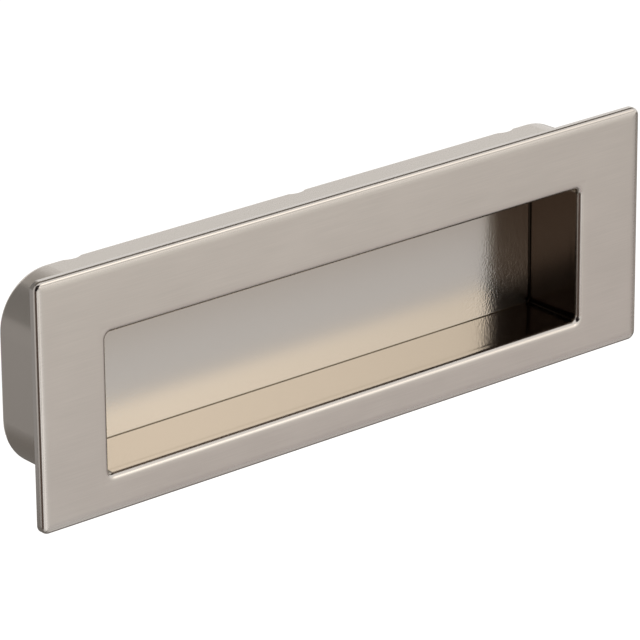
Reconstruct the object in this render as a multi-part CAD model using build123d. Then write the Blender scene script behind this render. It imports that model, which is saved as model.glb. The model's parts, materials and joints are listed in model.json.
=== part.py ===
from build123d import *
import os
from math import radians, tan

# Flush finger pull for a routed pocket in a door or drawer front, one zinc die casting.
# Millimetres. X runs along the pull, Z is up and the face looks towards -Y. The origin is
# the middle of the flange, in the plane where the flange seats on the panel.

# Fixing from behind: two blind M4 holes on the long centre line.
hole_spacing = 96.0
hole_radius = 1.65
hole_depth = 9.0
hole_chamfer = 0.4
drill_point_angle = 118.0
boss_radius = 3.6
hole_to_opening = 4.3
hole_to_cup_end = 4.7

# Flange: the plate that covers the edge of the routed pocket.
flange_thickness = 1.2
flange_corner_radius = 1.3
face_edge_radius = 0.55
overhang_beside = 2.8
overhang_above = 3.2
overhang_below = 4.0

# Finger pocket: an opening in the face, and a grip space that rises behind its upper lip.
opening_height = 20.7
opening_corner_radius = 0.85
mouth_edge_radius = 0.95
pocket_depth = 10.4
pocket_draft = 1.5
pocket_back_radius = 0.2
lip_thickness = 2.0
lip_edge_radius = 0.6
grip_rise = 5.3
grip_side_step = 1.2
grip_corner_radius = 1.5
grip_root_radius = 0.8

# Cup: the body behind the flange. It clears a pocket cut with a 16 mm router bit.
wall = 1.65
back_wall = 1.2
cup_corner_radius = 8.3
cup_draft = 1.0
cup_rear_radius = 0.9

# Coring of the rear, which keeps the casting to an even wall.
recess_depth = 1.3
core_floor = 2.4
core_draft = 1.0
core_corner_radius = 1.2
web_beside_boss = 0.4

# Gate notches: the runners break off below the rear rim.
notch_pitch = 40.0
notch_width = 4.2
notch_depth = 1.2

# Sizes that follow from those above.
opening_length = hole_spacing - 2 * hole_to_opening
cup_length = hole_spacing + 2 * hole_to_cup_end
cup_height = wall + opening_height + grip_rise + wall
flange_length = cup_length + 2 * overhang_beside
flange_height = overhang_below + cup_height + overhang_above
overall_depth = pocket_depth + back_wall + recess_depth
cup_depth = overall_depth - flange_thickness

flange_bottom = -flange_height / 2
cup_bottom = flange_bottom + overhang_below
cup_middle = cup_bottom + cup_height / 2
opening_bottom = cup_bottom + wall
opening_top = opening_bottom + opening_height
ceiling = opening_top + grip_rise
rear_shrink = cup_depth * tan(radians(cup_draft))


def facing(depth):
    """Plane parallel to the face, depth millimetres behind it: local x is X, local y is Z."""
    return Plane.XZ.offset(flange_thickness - depth)


def drafted_block(length, height, middle, radius, near, far, draft):
    """Rounded block from depth near to depth far, narrowing by draft degrees a side."""
    outline = facing(near) * Pos(0, middle) * RectangleRounded(length, height, radius)
    return extrude(outline, near - far, taper=draft)


def flange():
    """Flat plate with small corner radii."""
    outline = facing(flange_thickness) * RectangleRounded(flange_length, flange_height, flange_corner_radius)
    return extrude(outline, flange_thickness)


def cup():
    """Solid outside form of the cup, with draft and a rounded rear edge."""
    body = drafted_block(cup_length, cup_height, cup_middle, cup_corner_radius,
                         flange_thickness, overall_depth, cup_draft)
    return fillet(body.faces().sort_by(Axis.Y)[-1].edges(), cup_rear_radius)


def finger_pocket():
    """Space that the fingers fill: through the opening, then up behind the lip."""
    opening_middle = (opening_bottom + opening_top) / 2
    through = drafted_block(opening_length, opening_height, opening_middle, opening_corner_radius,
                            0, pocket_depth, pocket_draft)
    # The grip space starts inside the through space, so only its upper half shows.
    grip_length = opening_length - 2 * grip_side_step
    grip_height = ceiling - opening_middle
    grip = drafted_block(grip_length, grip_height, opening_middle + grip_height / 2, grip_corner_radius,
                         lip_thickness, pocket_depth, pocket_draft)
    grip = fillet(grip.faces().sort_by(Axis.Y)[0].edges(), grip_root_radius)
    space = through + grip
    # Where the two spaces meet is the hidden edge of the lip, which the fingertips pull on.
    lip_rear = lip_thickness - flange_thickness
    edges = space.edges().filter_by(Axis.X).filter_by_position(Axis.Y, lip_rear - 0.01, lip_rear + 0.01)
    space = fillet(edges.sort_by(Axis.Z)[0], lip_edge_radius)
    return fillet(space.faces().sort_by(Axis.Y)[-1].edges(), pocket_back_radius)


def rear_outline(inset):
    """Outline of the cup at its rear edge, moved in by inset."""
    length = cup_length - 2 * rear_shrink - 2 * inset
    height = cup_height - 2 * rear_shrink - 2 * inset
    return Pos(0, cup_middle) * RectangleRounded(length, height, cup_corner_radius - rear_shrink - inset)


def rear_recess():
    """Shallow recess inside the rear rim, with a boss left standing round each fixing hole."""
    outline = rear_outline(wall)
    for x in (-hole_spacing / 2, hole_spacing / 2):
        outline -= Pos(x, 0) * Circle(boss_radius)
    return extrude(facing(overall_depth - recess_depth) * outline, -recess_depth)


def end_core(side, level):
    """Deep core in one end block: side is -1 or 1 along X, level is -1 or 1 along Z."""
    inner = opening_length / 2 + wall
    outer = cup_length / 2 - rear_shrink - wall
    near = boss_radius + web_beside_boss
    strip = RectangleRounded(outer - inner, cup_height, core_corner_radius)
    place = Pos(side * (inner + outer) / 2, level * (near + cup_height / 2))
    outline = rear_outline(wall) & place * strip
    far_corner = outline.vertices().sort_by(Axis.Y)[-1 if level > 0 else 0]
    outline = fillet(far_corner, core_corner_radius)
    return extrude(facing(overall_depth) * outline, overall_depth - core_floor, taper=core_draft)


def fixing_hole(x):
    """Blind tapping hole with a drill point at its end and a chamfer at its mouth."""
    point_height = hole_radius / tan(radians(drill_point_angle / 2))
    mouth_radius = hole_radius + hole_chamfer
    profile = Polyline(
        (0, 0),
        (mouth_radius, 0),
        (hole_radius, hole_chamfer),
        (hole_radius, hole_depth),
        (0, hole_depth + point_height),
        close=True,
    )
    turned = revolve(make_face(profile), Axis.Y)
    return Pos(x, cup_depth, 0) * Rot(180, 0, 0) * turned


def gate_notch(x):
    """Round scallop that passes right through the upper rear rim."""
    radius = (notch_width ** 2 / 4 + notch_depth ** 2) / (2 * notch_depth)
    height = 2 * (wall + 2 * rear_shrink)
    centre_y = cup_depth + radius - notch_depth
    return Pos(x, centre_y, cup_bottom + cup_height) * Cylinder(radius, height)


def rounded_face_edges(body):
    """Round the outer edge of the face and the mouth of the opening."""
    face = body.faces().sort_by(Axis.Y)[0]
    body = fillet(face.outer_wire().edges(), face_edge_radius)
    face = body.faces().sort_by(Axis.Y)[0]
    return fillet(face.inner_wires()[0].edges(), mouth_edge_radius)


def handle_casting():
    """The whole casting."""
    body = rounded_face_edges(flange() + cup() - finger_pocket())
    body -= rear_recess()
    for side in (-1, 1):
        for level in (-1, 1):
            body -= end_core(side, level)
        body -= fixing_hole(side * hole_spacing / 2)
    for step in (-1, 0, 1):
        body -= gate_notch(step * notch_pitch)
    return body


if __name__ == "__main__":
    part = handle_casting()
    os.makedirs("parts", exist_ok=True)
    export_step(part, "parts/handle_casting.step")
    print(part.bounding_box(), part.volume)
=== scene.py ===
"""Looks of a recessed pull handle: nickel plated zinc, brushed on its face and bright in its finger pocket."""

import json
import logging
import math
from dataclasses import dataclass, field
from enum import Enum
from typing import Any

import bpy
from mathutils import Matrix, Vector

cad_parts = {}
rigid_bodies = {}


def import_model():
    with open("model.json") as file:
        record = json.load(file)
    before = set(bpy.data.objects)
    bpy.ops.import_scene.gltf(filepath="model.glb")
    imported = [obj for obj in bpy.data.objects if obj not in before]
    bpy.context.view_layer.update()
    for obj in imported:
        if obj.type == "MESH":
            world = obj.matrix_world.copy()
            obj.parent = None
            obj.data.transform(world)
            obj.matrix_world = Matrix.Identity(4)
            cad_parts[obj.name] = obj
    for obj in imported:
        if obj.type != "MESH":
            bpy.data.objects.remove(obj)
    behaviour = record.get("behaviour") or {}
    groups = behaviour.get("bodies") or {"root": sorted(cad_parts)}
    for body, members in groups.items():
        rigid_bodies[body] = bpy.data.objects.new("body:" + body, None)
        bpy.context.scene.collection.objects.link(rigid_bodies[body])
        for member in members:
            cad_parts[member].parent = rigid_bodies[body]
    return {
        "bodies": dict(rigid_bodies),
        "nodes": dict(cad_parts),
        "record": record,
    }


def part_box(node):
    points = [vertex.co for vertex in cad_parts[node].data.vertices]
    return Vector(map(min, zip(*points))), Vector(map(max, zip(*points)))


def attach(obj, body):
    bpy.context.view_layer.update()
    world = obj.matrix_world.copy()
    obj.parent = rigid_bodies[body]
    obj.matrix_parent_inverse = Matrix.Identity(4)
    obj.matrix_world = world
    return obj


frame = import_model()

log = logging.getLogger("pull_handle")

MM = 0.001
CASTING = "handle_casting"
BODY = "root"
WHITE = (1.0, 1.0, 1.0, 1.0)

# Outputs of nodes, by what they stand for.
Sockets = dict[str, bpy.types.NodeSocket]


def linear(hex_colour: str) -> tuple[float, float, float, float]:
    """Turn an sRGB hex colour into the linear colour that a shader socket takes.

    Args:
        hex_colour: Six hex digits after a hash sign.

    Returns:
        Red, green, blue and an alpha of 1.
    """
    parts = [int(hex_colour[i:i + 2], 16) / 255 for i in (1, 3, 5)]
    red, green, blue = [p / 12.92 if p <= 0.04045 else ((p + 0.055) / 1.055) ** 2.4 for p in parts]
    return (red, green, blue, 1.0)


def add_node(tree: bpy.types.NodeTree, kind: str, settings: dict[str, Any] | None = None,
             inputs: dict[Any, Any] | None = None) -> bpy.types.Node:
    """Add a node, set its properties and fill its inputs.

    Args:
        tree: The node tree that gets the node.
        kind: The node's type name, without the word ShaderNode at its start.
        settings: Property names and their values.
        inputs: Input names or numbers, each with a value or an output socket to link.

    Returns:
        The new node.
    """
    node = tree.nodes.new("ShaderNode" + kind)
    for name, value in (settings or {}).items():
        setattr(node, name, value)
    for name, value in (inputs or {}).items():
        if isinstance(value, bpy.types.NodeSocket):
            tree.links.new(value, node.inputs[name])
        else:
            node.inputs[name].default_value = value
    return node


@dataclass(frozen=True)
class NickelPlate:
    """Satin nickel plate on a zinc die casting.

    Real material: copper and nickel plated zinc alloy. The face is brushed along its length after plating,
    so it shines as a soft upright glow with faint level streaks. The back of the pocket is blasted to a fine
    satin, and its floor and ends keep the bright plate, which looks golden where it mirrors itself.
    """

    face_colour: str = "#CEC7C0"
    back_colour: str = "#D5D3CE"
    # Painted shade: the back wall is painted darker towards the lip.
    under_lip_painted_shade: str = "#B7ACA0"
    pocket_colour: str = "#C0B3A4"
    cup_colour: str = "#CCC4BB"
    # The creases and corners of the pocket are rougher than the pocket and painted dark: painted shade.
    crease_painted_shade: str = "#958670"
    corner_painted_shade: str = "#2E2720"
    face_roughness: float = 0.36
    edge_roughness: float = 0.18
    back_roughness: float = 0.20
    pocket_roughness: float = 0.09
    cup_roughness: float = 0.25
    crease_roughness: float = 0.25
    corner_roughness: float = 0.15
    # How much wider the glow is across the brushing than along it: widest on the blasted back wall.
    grain: float = 0.55
    back_grain: float = 0.85
    # Real brush scratches are about 0.03 mm wide. They are drawn 0.2 mm wide and 9 mm long, to show at all.
    scratch_width: float = 0.20 * MM
    scratch_length: float = 9.0 * MM
    scratch_height: float = 0.0030 * MM
    scratch_shade: float = 0.15
    scratch_roughness: float = 0.12
    # Fingering and uneven brushing leave cloudy patches about 14 mm long and 7 mm high.
    cloud_length: float = 14.0 * MM
    cloud_height: float = 7.0 * MM
    cloud_shade: float = 0.12
    # Real blast dimples are about 0.1 mm across. They are drawn 0.32 mm across, to show at all. They are
    # deepest low down near the ends.
    blast_size: float = 0.32 * MM
    blast_height: float = 0.024 * MM
    # The skin of the die shows through the bright plate as a soft ripple about 0.8 mm across.
    ripple_size: float = 0.8 * MM
    ripple_height: float = 0.0012 * MM


@dataclass
class CastingFinish:
    """Dresses the casting: one plated material, with its finish set by the place on the part.

    The sizes are those of the brushed face and of the finger pocket, in metres.
    """

    plate: NickelPlate
    face_y: float
    half_length: float
    half_height: float
    mouth_half_length: float = 43.7 * MM
    mouth_low: float = -12.6 * MM
    mouth_high: float = 8.1 * MM
    mouth_radius: float = 0.95 * MM
    edge_radius: float = 0.55 * MM
    pocket_depth: float = 10.4 * MM
    pocket_half_length: float = 43.43 * MM
    pocket_low: float = -12.33 * MM
    pocket_high: float = 13.5 * MM
    # The pocket widens towards its mouth, so its finish reaches this far past its rear corners.
    margin: float = 0.7 * MM
    # Brushing eases the flat of the face towards its edges, over this width and down to this slope.
    edge_ease: float = 1.0 * MM
    edge_slope: float = 0.25
    mouth_ease: float = 0.6 * MM
    mouth_slope: float = 0.07
    # A small push along Y gives the end walls, which look along X, a direction to spread their glow in.
    spread_push: float = 0.05

    def add_steps(self, tree: bpy.types.NodeTree, across: bpy.types.NodeSocket, depth: bpy.types.NodeSocket,
                  height: bpy.types.NodeSocket) -> Sockets:
        """Add the borders between the finishes, and the share that each finish has at a place.

        Args:
            tree: The material's node tree.
            across: How far a place lies from the middle towards either end, in metres.
            depth: How far it lies behind the seat of the flange, in metres.
            height: How far it lies above the middle of the flange, in metres.

        Returns:
            The borders and the shares by name, each from 0 to 1.
        """
        end, low, high = self.pocket_half_length, self.pocket_low, self.pocket_high
        back = self.face_y + self.pocket_depth
        # Each border is a smooth step along one axis: a place on it, and how many millimetres from there the
        # step is 0 and 1.
        borders = {
            "off_face": (depth, self.face_y, 0.01, 0.14),
            "behind_face": (depth, self.face_y, 0.5, 1.1),
            "before_flange_back": (depth, 0.0, 0.1, -0.1),
            "near_flange": (depth, 0.0, 0.9, 0.3),
            "inside_ends": (across, end + self.margin, 0.1, 0.0),
            "over_floor": (height, low - self.margin, -0.1, 0.0),
            "under_roof": (height, high, 0.3, 0.2),
            "before_back": (depth, back, 0.3, 0.2),
            "at_back": (depth, back, -0.22, -0.06),
            "at_floor": (height, low, 0.22, 0.06),
            "near_back": (depth, back, -0.45, -0.20),
            "near_end": (across, end, -0.45, -0.20),
            "near_roof": (height, 0.0, -6.0, 13.0),
            "low_down": (height, 0.0, 8.0, -8.0),
            "toward_end": (across, 0.0, 24.0, 38.0),
            "low_corner": (height, low, 0.9, 0.5),
            "end_corner": (across, end, -0.9, -0.5),
        }
        step = {}
        for label, (value, origin, zero, one) in borders.items():
            node = add_node(tree, "MapRange", {"interpolation_type": "SMOOTHSTEP"},
                            {"Value": value, "From Min": origin + zero * MM, "From Max": origin + one * MM})
            step[label] = node.outputs["Result"]
        step["on_face"] = add_node(tree, "Math", {"operation": "SUBTRACT"},
                                   {0: 1.0, 1: step["off_face"]}).outputs[0]

        # Each share is the product of a few steps.
        shares = {
            "pocket": ("inside_ends", "over_floor", "under_roof", "before_back", "behind_face"),
            "back_wall": ("at_back", "inside_ends", "over_floor", "under_roof", "before_back"),
            # Painted shade: the back wall darkens towards the lip.
            "painted_shade_under_lip": ("near_roof", "at_back", "inside_ends", "over_floor", "under_roof", "before_back"),
            "grainy": ("low_down", "toward_end", "at_back", "inside_ends", "over_floor", "before_back"),
            # Painted shade: the creases and corners of the pocket.
            "floor_crease_painted_shade": ("at_back", "at_floor", "over_floor", "inside_ends", "before_back"),
            "end_crease_painted_shade": ("near_back", "near_end", "inside_ends", "over_floor", "under_roof", "before_back"),
            "corner": ("low_corner", "end_corner", "inside_ends", "over_floor", "before_back", "behind_face"),
        }
        for label, factors in shares.items():
            share = step[factors[0]]
            for factor in factors[1:]:
                node = add_node(tree, "Math", {"operation": "MULTIPLY"}, {0: share, 1: step[factor]})
                share = node.outputs[0]
            step[label] = share
        return step

    def add_noises(self, tree: bpy.types.NodeTree, place: bpy.types.NodeSocket) -> Sockets:
        """Add four noises: brush scratches, cloudy patches, the grain of the blast and the skin of the die.

        Args:
            tree: The material's node tree.
            place: The place on the part, in metres.

        Returns:
            The noises by name, each about -0.5 to 0.5.
        """
        plate = self.plate
        # How many features there are in a metre along X, Y and Z, and how finely they break up.
        noises = {
            "scratch": ((1 / plate.scratch_length, 0.0, 1 / plate.scratch_width), 3.0),
            "cloud": ((1 / plate.cloud_length, 0.0, 1 / plate.cloud_height), 2.0),
            "blast": ((1 / plate.blast_size,) * 3, 1.0),
            "ripple": ((1 / plate.ripple_size,) * 3, 1.0),
        }
        noise = {}
        for label, (scale, detail) in noises.items():
            scaled = add_node(tree, "Mapping", inputs={"Vector": place, "Scale": scale})
            node = add_node(tree, "TexNoise",
                            inputs={"Vector": scaled.outputs[0], "Scale": 1.0, "Detail": detail})
            node = add_node(tree, "Math", {"operation": "SUBTRACT"}, {0: node.outputs[0], 1: 0.5})
            noise[label] = node.outputs[0]
        return noise

    def add_bands(self, tree: bpy.types.NodeTree, across: bpy.types.NodeSocket,
                  height: bpy.types.NodeSocket) -> list[bpy.types.NodeSocket]:
        """Add the two bands where brushing eases the face: along its outer edge and along the mouth.

        Args:
            tree: The material's node tree.
            across: How far a place lies from the middle towards either end, in metres.
            height: How far it lies above the middle of the flange, in metres.

        Returns:
            For each band, a value that rises from 0 on the flat to 1 at the edge, slowly at first.
        """
        outer_x, outer_z = self.half_length - self.edge_radius, self.half_height - self.edge_radius
        mouth_x = self.mouth_half_length + self.mouth_radius
        mouth_z = (self.mouth_high - self.mouth_low) / 2 + self.mouth_radius
        mouth_middle = (self.mouth_low + self.mouth_high) / 2
        upright = add_node(tree, "Math", {"operation": "ABSOLUTE"}, {0: height}).outputs[0]
        from_middle = add_node(tree, "Math", {"operation": "SUBTRACT"}, {0: height, 1: mouth_middle})
        from_middle = add_node(tree, "Math", {"operation": "ABSOLUTE"}, {0: from_middle.outputs[0]}).outputs[0]
        # The outer band lies near any side of the face, so the larger value counts. The mouth's band has to
        # be near on both axes, so there the smaller one does.
        sides = (
            ("MAXIMUM", (across, outer_x - self.edge_ease, outer_x),
             (upright, outer_z - self.edge_ease, outer_z)),
            ("MINIMUM", (across, mouth_x + self.mouth_ease, mouth_x),
             (from_middle, mouth_z + self.mouth_ease, mouth_z)),
        )
        bands = []
        for joined, *pair in sides:
            near = [add_node(tree, "MapRange", inputs={"Value": value, "From Min": flat, "From Max": edge})
                    for value, flat, edge in pair]
            inside = add_node(tree, "Math", {"operation": joined},
                              {0: near[0].outputs[0], 1: near[1].outputs[0]})
            square = add_node(tree, "Math", {"operation": "POWER"}, {0: inside.outputs[0], 1: 2.0})
            bands.append(square.outputs[0])
        return bands

    def add_layers(self, tree: bpy.types.NodeTree, step: Sockets,
                   polish: bpy.types.NodeSocket) -> tuple[bpy.types.NodeSocket, bpy.types.NodeSocket]:
        """Lay the colours and roughnesses of the finishes over each other, from the cup inwards.

        Args:
            tree: The material's node tree.
            step: The share of each finish by name.
            polish: How far the brushed face has turned into its polished outer edge, from 0 to 1.

        Returns:
            The colour and the roughness.
        """
        plate = self.plate
        face_rough = add_node(tree, "Mix", {"data_type": "FLOAT"},
                              {0: polish, 2: plate.face_roughness, 3: plate.edge_roughness}).outputs[0]
        layers = (
            ("before_flange_back", plate.face_colour, plate.edge_roughness),
            ("pocket", plate.pocket_colour, plate.pocket_roughness),
            ("back_wall", plate.back_colour, plate.back_roughness),
            # Painted shade: the back wall painted darker under the lip.
            ("painted_shade_under_lip", plate.under_lip_painted_shade, plate.back_roughness),
            # Painted shade: the pocket's creases and corners.
            ("floor_crease_painted_shade", plate.crease_painted_shade, plate.crease_roughness),
            ("corner", plate.corner_painted_shade, plate.corner_roughness),
            ("end_crease_painted_shade", plate.corner_painted_shade, plate.corner_roughness),
            ("on_face", plate.face_colour, face_rough),
        )
        colour, rough = linear(plate.cup_colour), plate.cup_roughness
        for label, tint, roughness in layers:
            share = step[label]
            colour = add_node(tree, "Mix", {"data_type": "RGBA"},
                              {0: share, 6: colour, 7: linear(tint)}).outputs[2]
            rough = add_node(tree, "Mix", {"data_type": "FLOAT"},
                             {0: share, 2: rough, 3: roughness}).outputs[0]
        return colour, rough

    def build(self, name: str) -> bpy.types.Material:
        """Make the plated material.

        Args:
            name: The material's name.

        Returns:
            The material, with its node tree complete.
        """
        plate = self.plate
        material = bpy.data.materials.new(name)
        material.use_nodes = True
        tree = material.node_tree
        tree.nodes.clear()
        coordinates = add_node(tree, "TexCoord").outputs
        place, facing = coordinates["Object"], coordinates["Normal"]
        length, depth, height = add_node(tree, "SeparateXYZ", inputs={0: place}).outputs
        across = add_node(tree, "Math", {"operation": "ABSOLUTE"}, {0: length}).outputs[0]
        step = self.add_steps(tree, across, depth, height)
        noise = self.add_noises(tree, place)
        outer_band, mouth_band = self.add_bands(tree, across, height)
        colour, rough = self.add_layers(tree, step, outer_band)

        # Streaks and clouds of the face: paler where the brush bit less.
        shade = add_node(tree, "Math", {"operation": "MULTIPLY"},
                         {0: noise["scratch"], 1: plate.scratch_shade})
        shade = add_node(tree, "Math", {"operation": "MULTIPLY_ADD"},
                         {0: noise["cloud"], 1: plate.cloud_shade, 2: shade.outputs[0]})
        shade = add_node(tree, "Math", {"operation": "MULTIPLY_ADD"},
                         {0: shade.outputs[0], 1: step["on_face"], 2: 1.0})
        colour = add_node(tree, "VectorMath", {"operation": "SCALE"},
                          {0: colour, "Scale": shade.outputs[0]}).outputs[0]
        streak = add_node(tree, "Math", {"operation": "MULTIPLY"}, {0: noise["scratch"], 1: step["on_face"]})
        rough = add_node(tree, "Math", {"operation": "MULTIPLY_ADD"},
                         {0: streak.outputs[0], 1: plate.scratch_roughness, 2: rough}).outputs[0]

        # Relief in metres. First the ease of the face: a band falls by half of its slope times its width.
        relief = 0.0
        for band, width, slope in ((outer_band, self.edge_ease, self.edge_slope),
                                   (mouth_band, self.mouth_ease, self.mouth_slope)):
            relief = add_node(tree, "Math", {"operation": "MULTIPLY_ADD"},
                              {0: band, 1: -slope * width / 2, 2: relief}).outputs[0]
        relief = add_node(tree, "Math", {"operation": "MULTIPLY"},
                          {0: relief, 1: step["near_flange"]}).outputs[0]

        # Then the scratches of the face, the grain of the blast, and the skin of the die off the face.
        for label, share, rise in (("scratch", "on_face", plate.scratch_height),
                                   ("blast", "grainy", plate.blast_height),
                                   ("ripple", "off_face", plate.ripple_height)):
            lift = add_node(tree, "Math", {"operation": "MULTIPLY"}, {0: noise[label], 1: step[share]})
            relief = add_node(tree, "Math", {"operation": "MULTIPLY_ADD"},
                              {0: lift.outputs[0], 1: rise, 2: relief}).outputs[0]
        bump = add_node(tree, "Bump", inputs={"Strength": 1.0, "Distance": 1.0, "Height": relief})

        # Everything is brushed along X, so the glow spreads at right angles to X: upright on the face.
        spread = add_node(tree, "VectorMath", {"operation": "CROSS_PRODUCT"}, {0: (1.0, 0.0, 0.0), 1: facing})
        spread = add_node(tree, "VectorMath", {"operation": "ADD"},
                          {0: spread.outputs[0], 1: (0.0, self.spread_push, 0.0)})
        grain = add_node(tree, "Mix", {"data_type": "FLOAT"},
                         {0: step["back_wall"], 2: plate.grain, 3: plate.back_grain}).outputs[0]
        shader = add_node(tree, "BsdfPrincipled", inputs={
            "Base Color": colour, "Metallic": 1.0, "Roughness": rough, "Anisotropic": grain,
            "Normal": bump.outputs[0], "Tangent": spread.outputs[0]})
        add_node(tree, "OutputMaterial", inputs={"Surface": shader.outputs[0]})
        return material

    def dress(self, casting: bpy.types.Object) -> bpy.types.Material:
        """Put the material in every slot of the casting.

        Args:
            casting: The casting's object.

        Returns:
            The material that it wears.
        """
        # Satin nickel plate: soft grey and streaked on the face, warm and mirror bright in the pocket.
        material = self.build("satin_nickel_plate")
        for slot in casting.material_slots:
            slot.material = material
        log.info("%s wears %s", casting.name, material.name)
        return material


@dataclass
class FixingThreads:
    """M4 threads in the two fixing holes: each a helical ridge on the wall of its tapping hole."""

    spacing: float
    wall_radius: float
    rear_y: float
    chamfer: float = 0.45 * MM
    pitch: float = 0.7 * MM
    turns: int = 10
    steps: int = 40
    # The ridge is a triangle with this share of the pitch as its radius, set this far into the wall.
    ridge_share: float = 0.40
    ridge_inset: float = 0.04 * MM
    merge_distance: float = 1e-7

    def model(self, name: str) -> bpy.types.Object:
        """Model one ridge about the Y axis: a small triangle turned into a helix.

        Args:
            name: The piece's name.

        Returns:
            The ridge, closed at both ends, in its place along Y.
        """
        bpy.ops.object.select_all(action="DESELECT")
        bpy.ops.mesh.primitive_circle_add(vertices=3, radius=self.pitch * self.ridge_share,
                                          fill_type="NOTHING", rotation=(0.0, 0.0, math.radians(90)))
        ridge = bpy.context.object
        ridge.name = ridge.data.name = name
        bpy.ops.object.transform_apply(location=False, rotation=True, scale=False)
        bpy.ops.object.mode_set(mode="EDIT")
        bpy.ops.mesh.select_all(action="SELECT")
        bpy.ops.transform.translate(value=(self.wall_radius + self.ridge_inset, 0.0, 0.0))
        bpy.ops.object.mode_set(mode="OBJECT")
        screw = ridge.modifiers.new("helix", "SCREW")
        screw.axis = "Y"
        screw.screw_offset = self.pitch
        screw.iterations = self.turns
        screw.steps = screw.render_steps = self.steps
        bpy.ops.object.modifier_apply(modifier=screw.name)
        bpy.ops.object.mode_set(mode="EDIT")
        bpy.ops.mesh.select_all(action="SELECT")
        bpy.ops.mesh.remove_doubles(threshold=self.merge_distance)
        bpy.ops.mesh.select_all(action="DESELECT")
        bpy.ops.mesh.select_non_manifold(extend=False)
        bpy.ops.mesh.fill()
        bpy.ops.mesh.select_all(action="SELECT")
        bpy.ops.mesh.normals_make_consistent(inside=False)
        bpy.ops.transform.translate(value=(0.0, self.rear_y - self.chamfer - self.turns * self.pitch, 0.0))
        bpy.ops.object.mode_set(mode="OBJECT")
        return ridge

    def build(self, material: bpy.types.Material) -> list[bpy.types.Object]:
        """Model the ridge once and set a copy in each hole.

        Args:
            material: The finish that they wear.

        Returns:
            The two finished pieces.
        """
        first = self.model("thread_left")
        second = first.copy()
        second.data = first.data.copy()
        second.name = second.data.name = "thread_right"
        bpy.context.collection.objects.link(second)
        for ridge, side in ((first, -1), (second, 1)):
            ridge.data.transform(Matrix.Translation((side * self.spacing / 2, 0.0, 0.0)))
            ridge.data.materials.append(material)
            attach(ridge, BODY)
            log.info("%s has %d faces", ridge.name, len(ridge.data.polygons))
        return [first, second]


class Lie(Enum):
    """How a studio board lies."""

    LEVEL = "flat, facing up and down"
    UPRIGHT = "standing, turned to the object"
    FACING = "tilted to the object"


class Fade(Enum):
    """How the glow of a studio board changes over it."""

    EVEN = "the same all over"
    ROUND = "from its middle to its edges"
    ALONG = "from its front end to its rear end"


@dataclass(frozen=True)
class Board:
    """A studio board that shows only in the shine of the metal.

    Its centre and its sides are in metres. Its glow is its colour times its strength. With a fade, the
    strength goes from the first value to the second, and the colour to the far colour if there is one. The
    right share is what is left of the strength at the board's right end, from its middle on.
    """

    name: str
    lie: Lie
    centre: tuple[float, float, float]
    width: float
    height: float
    colour: str
    strength: tuple[float, float] = (1.0, 1.0)
    fade: Fade = Fade.EVEN
    far_colour: str = ""
    right_share: float = 1.0

    def glow(self) -> bpy.types.Material:
        """Make the board's glowing material.

        Returns:
            The material.
        """
        material = bpy.data.materials.new(self.name)
        material.use_nodes = True
        tree = material.node_tree
        tree.nodes.clear()
        place = add_node(tree, "TexCoord").outputs["Object"]
        radius = add_node(tree, "VectorMath", {"operation": "LENGTH"}, {0: place}).outputs["Value"]
        sideways, lengthways, _ = add_node(tree, "SeparateXYZ", inputs={0: place}).outputs
        # The plane has sides of 1 before it is scaled, so on it a place runs from minus half to half. An even
        # board has one strength throughout, so either measure does for it.
        half = 0.5
        value, start = (lengthways, -half) if self.fade is Fade.ALONG else (radius, 0.0)
        share = add_node(tree, "MapRange", {"interpolation_type": "SMOOTHSTEP"},
                         {"Value": value, "From Min": start, "From Max": half}).outputs["Result"]
        near, far = self.strength
        strength = add_node(tree, "Mix", {"data_type": "FLOAT"}, {0: share, 2: near, 3: far}).outputs[0]
        tint = add_node(tree, "Mix", {"data_type": "RGBA"},
                        {0: share, 6: linear(self.colour), 7: linear(self.far_colour or self.colour)})
        kept = add_node(tree, "MapRange", {"interpolation_type": "SMOOTHSTEP"},
                        {"Value": sideways, "From Min": 0.0, "From Max": half,
                         "To Min": 1.0, "To Max": self.right_share}).outputs["Result"]
        strength = add_node(tree, "Math", {"operation": "MULTIPLY"}, {0: strength, 1: kept}).outputs[0]
        shine = add_node(tree, "Emission", inputs={"Color": tint.outputs[2], "Strength": strength})
        add_node(tree, "OutputMaterial", inputs={"Surface": shine.outputs[0]})
        return material

    def build(self) -> bpy.types.Object:
        """Stand the board in the studio.

        Returns:
            The board's object.
        """
        out = Vector(self.centre)
        if self.lie is Lie.LEVEL:
            turn = (0.0, 0.0, 0.0)
        elif self.lie is Lie.UPRIGHT:
            turn = Vector((out.x, out.y, 0.0)).to_track_quat("Z", "Y").to_euler()
        else:
            turn = out.to_track_quat("Z", "Y").to_euler()
        bpy.ops.object.select_all(action="DESELECT")
        bpy.ops.mesh.primitive_plane_add(size=1.0, location=out, rotation=turn)
        plane = bpy.context.object
        plane.name = self.name
        plane.scale = (self.width, self.height, 1.0)
        plane.data.materials.append(self.glow())
        plane.visible_camera = plane.visible_diffuse = plane.visible_shadow = False
        return plane


@dataclass(frozen=True)
class Lamp:
    """A soft square lamp that faces the object, with its centre and side in metres and its power in watts."""

    name: str
    centre: tuple[float, float, float]
    size: float
    power: float

    def build(self) -> bpy.types.Object:
        """Hang the lamp, which lights the floor but shows neither to the eye nor in the shine.

        Returns:
            The lamp's object.
        """
        turn = Vector(self.centre).to_track_quat("Z", "Y").to_euler()
        bpy.ops.object.select_all(action="DESELECT")
        bpy.ops.object.light_add(type="AREA", location=self.centre, rotation=turn)
        lamp = bpy.context.object
        lamp.name = self.name
        lamp.data.shape = "SQUARE"
        lamp.data.size = self.size
        lamp.data.energy = self.power
        lamp.visible_camera = lamp.visible_glossy = False
        return lamp


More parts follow.
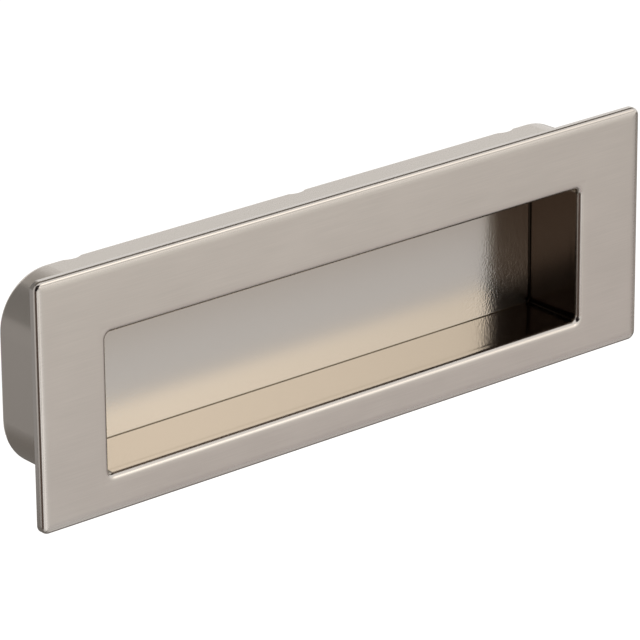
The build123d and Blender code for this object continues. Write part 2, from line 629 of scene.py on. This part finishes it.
@dataclass
class Studio:
    """Pale floor, white surroundings, one soft lamp, and boards that shape the shine of the metal."""

    floor_level: float = -0.25
    floor_size: float = 6.0
    floor_colour: str = "#B4B1AE"
    # A glow lifts the floor to white for the eye. In the shine of the metal it is a plain pale grey.
    floor_glow: float = 0.75
    floor_shine: str = "#DCDCDC"
    world_seen: float = 1.0
    world_light: float = 0.7
    lamp: Lamp = Lamp("key_lamp", (0.29, -0.50, 0.69), 0.6, 3.0)
    boards: tuple[Board, ...] = (
        # A soft box to the right front lights the upper edges and, by way of the pocket's floor, the pocket.
        Board("key_board", Lie.FACING, (0.415, -0.618, 0.30), 0.56, 0.56, "#FFFBF5", (2.12, 1.18), Fade.ROUND),
        # The table in front is a glow with a painted shadow: it darkens near the handle and to the right, so
        # the face is paler at its upper left.
        Board("table_board", Lie.LEVEL, (0.12, -0.175, -0.06), 0.24, 0.27, "#EBEFE7", (1.10, 0.66), Fade.ALONG,
              far_colour="#F4EBEA", right_share=0.68),
        # Past it the table stays pale.
        Board("table_board_far", Lie.LEVEL, (0.55, -0.66, -0.08), 1.10, 0.90, "#F6F3EE", (0.95, 0.82),
              Fade.ALONG),
        # What stands round the lens is dark, and shows in the right end of the pocket.
        Board("lens_board_high", Lie.UPRIGHT, (-0.165, -0.213, 0.19), 0.44, 0.40, "#262121"),
        Board("lens_board_low", Lie.UPRIGHT, (-0.213, -0.166, -0.13), 0.24, 0.24, "#60544D"),
        # A white card low in front draws bright lines at the face's left edge and the mouth's right edge.
        Board("front_board", Lie.UPRIGHT, (-0.01, -0.27, -0.13), 0.10, 0.16, "#FFFFFF", (1.2, 1.2)),
        # Grey boards round the left and the back, and a dark mat below that is a painted shadow under the
        # handle, give the cup its soft bands.
        Board("left_board", Lie.UPRIGHT, (-0.268, 0.033, 0.02), 0.21, 0.54, "#CDCBCA"),
        Board("back_left_board_low", Lie.UPRIGHT, (-0.166, 0.213, -0.115), 0.24, 0.27, "#A4A3A3"),
        Board("back_left_board_high", Lie.UPRIGHT, (-0.166, 0.213, 0.16), 0.24, 0.28, "#868584"),
        Board("back_mat", Lie.LEVEL, (0.0, 0.05, -0.09), 0.44, 0.18, "#7F7C79"),
        # A dark board low on the right shades the mouth's left edge and the face's right edge.
        Board("right_board", Lie.UPRIGHT, (0.28, 0.06, -0.12), 0.38, 0.18, "#7A756D"),
        # A dark ceiling behind the handle draws the dark line behind each bright upper edge.
        Board("top_board", Lie.LEVEL, (0.15, 0.275, 0.45), 1.50, 0.61, "#757069"),
    )

    def add_floor(self) -> None:
        """Lay the pale floor below the object. It keeps the object's shadow."""
        bpy.ops.object.select_all(action="DESELECT")
        bpy.ops.mesh.primitive_plane_add(size=self.floor_size, location=(0.0, 0.0, self.floor_level))
        floor = bpy.context.object
        floor.name = "floor"
        # Matt white paint: no shine, white to the eye, and a soft grey shadow below the object.
        material = bpy.data.materials.new("matt_white_floor")
        material.use_nodes = True
        tree = material.node_tree
        tree.nodes.clear()
        path = add_node(tree, "LightPath").outputs
        matt = add_node(tree, "BsdfDiffuse", inputs={"Color": linear(self.floor_colour)})
        white = add_node(tree, "Emission", inputs={"Color": WHITE, "Strength": self.floor_glow})
        lit = add_node(tree, "AddShader", inputs={0: matt.outputs[0], 1: white.outputs[0]})
        shine = add_node(tree, "Emission", inputs={"Color": linear(self.floor_shine), "Strength": 1.0})
        unseen = add_node(tree, "MixShader",
                          inputs={0: path["Is Glossy Ray"], 1: matt.outputs[0], 2: shine.outputs[0]})
        above = add_node(tree, "MixShader",
                         inputs={0: path["Is Camera Ray"], 1: unseen.outputs[0], 2: lit.outputs[0]})
        below = add_node(tree, "NewGeometry").outputs["Backfacing"]
        clear = add_node(tree, "BsdfTransparent")
        surface = add_node(tree, "MixShader", inputs={0: below, 1: above.outputs[0], 2: clear.outputs[0]})
        add_node(tree, "OutputMaterial", inputs={"Surface": surface.outputs[0]})
        floor.data.materials.append(material)

    def add_surroundings(self) -> None:
        """Make the world white to the eye and in the shine, and a plain soft light elsewhere."""
        world = bpy.data.worlds.new("studio")
        bpy.context.scene.world = world
        world.use_nodes = True
        tree = world.node_tree
        tree.nodes.clear()
        path = add_node(tree, "LightPath").outputs
        seen = add_node(tree, "Math", {"operation": "MAXIMUM"},
                        {0: path["Is Camera Ray"], 1: path["Is Glossy Ray"]})
        seen = add_node(tree, "Math", {"operation": "MAXIMUM"},
                        {0: seen.outputs[0], 1: path["Is Transmission Ray"]})
        strength = add_node(tree, "Mix", {"data_type": "FLOAT"},
                            {0: seen.outputs[0], 2: self.world_light, 3: self.world_seen})
        sky = add_node(tree, "Background", inputs={"Color": WHITE, "Strength": strength.outputs[0]})
        add_node(tree, "OutputWorld", inputs={"Surface": sky.outputs[0]})

    def build(self) -> None:
        """Build the whole studio."""
        self.add_surroundings()
        self.add_floor()
        for board in self.boards:
            board.build()
        self.lamp.build()
        log.info("studio has %d boards and %s", len(self.boards), self.lamp.name)


@dataclass(frozen=True)
class ProductCamera:
    """Long lens that looks down on the handle from its left front.

    Its angles are in degrees, its focal length and sensor in millimetres, and the rest in metres.
    """

    azimuth: float = -40.138
    elevation: float = 21.293
    roll: float = -0.461
    distance: float = 646.86 * MM
    focal_length: float = 259.8
    sensor_width: float = 36.0
    clip_start: float = 0.01
    clip_end: float = 50.0
    target: tuple[float, float, float] = (-6.18 * MM, -1.2 * MM, 0.525 * MM)

    def build(self) -> bpy.types.Object:
        """Create the camera and make it the scene's own.

        Returns:
            The camera's object.
        """
        turn, tilt, roll = (math.radians(a) for a in (self.azimuth, self.elevation, self.roll))
        back = Vector((math.sin(turn) * math.cos(tilt), -math.cos(turn) * math.cos(tilt), math.sin(tilt)))
        level = Vector((math.cos(turn), math.sin(turn), 0.0))
        upright = back.cross(level)
        right = level * math.cos(roll) + upright * math.sin(roll)
        up = upright * math.cos(roll) - level * math.sin(roll)
        bpy.ops.object.camera_add()
        camera = bpy.context.object
        camera.name = "product_camera"
        camera.data.lens = self.focal_length
        camera.data.sensor_width = self.sensor_width
        camera.data.clip_start = self.clip_start
        camera.data.clip_end = self.clip_end
        camera.matrix_world = Matrix((right, up, back)).transposed().to_4x4()
        camera.location = Vector(self.target) + back * self.distance
        bpy.context.scene.camera = camera
        return camera


@dataclass
class PullHandle:
    """The whole handle: the casting in its finish, and the threads of its fixing holes."""

    plate: NickelPlate = field(default_factory=NickelPlate)

    def build(self) -> None:
        """Dress the casting and add the threads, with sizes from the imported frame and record."""
        low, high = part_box(CASTING)
        finish = CastingFinish(self.plate, face_y=low[1], half_length=high[0], half_height=high[2])
        material = finish.dress(frame["nodes"][CASTING])
        screws = next(m["dims"] for m in frame["record"]["mounts"] if m["name"] == "fixing_screws")
        threads = FixingThreads(screws["spacing_x_mm"] * MM, screws["hole_r_mm"] * MM, rear_y=high[1])
        threads.build(material)


def clear_startup_objects() -> None:
    """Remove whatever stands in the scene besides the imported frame."""
    kept = set(frame["nodes"].values()) | set(frame["bodies"].values())
    for stray in [o for o in bpy.data.objects if o not in kept]:
        bpy.data.objects.remove(stray)


def main() -> None:
    """Build the looks in order and report each piece."""
    logging.basicConfig(level=logging.INFO, format="%(message)s")
    clear_startup_objects()
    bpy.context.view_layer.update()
    bpy.context.scene.view_settings.view_transform = "Standard"
    ProductCamera().build()
    Studio().build()
    PullHandle().build()


if __name__ == "__main__":
    main()
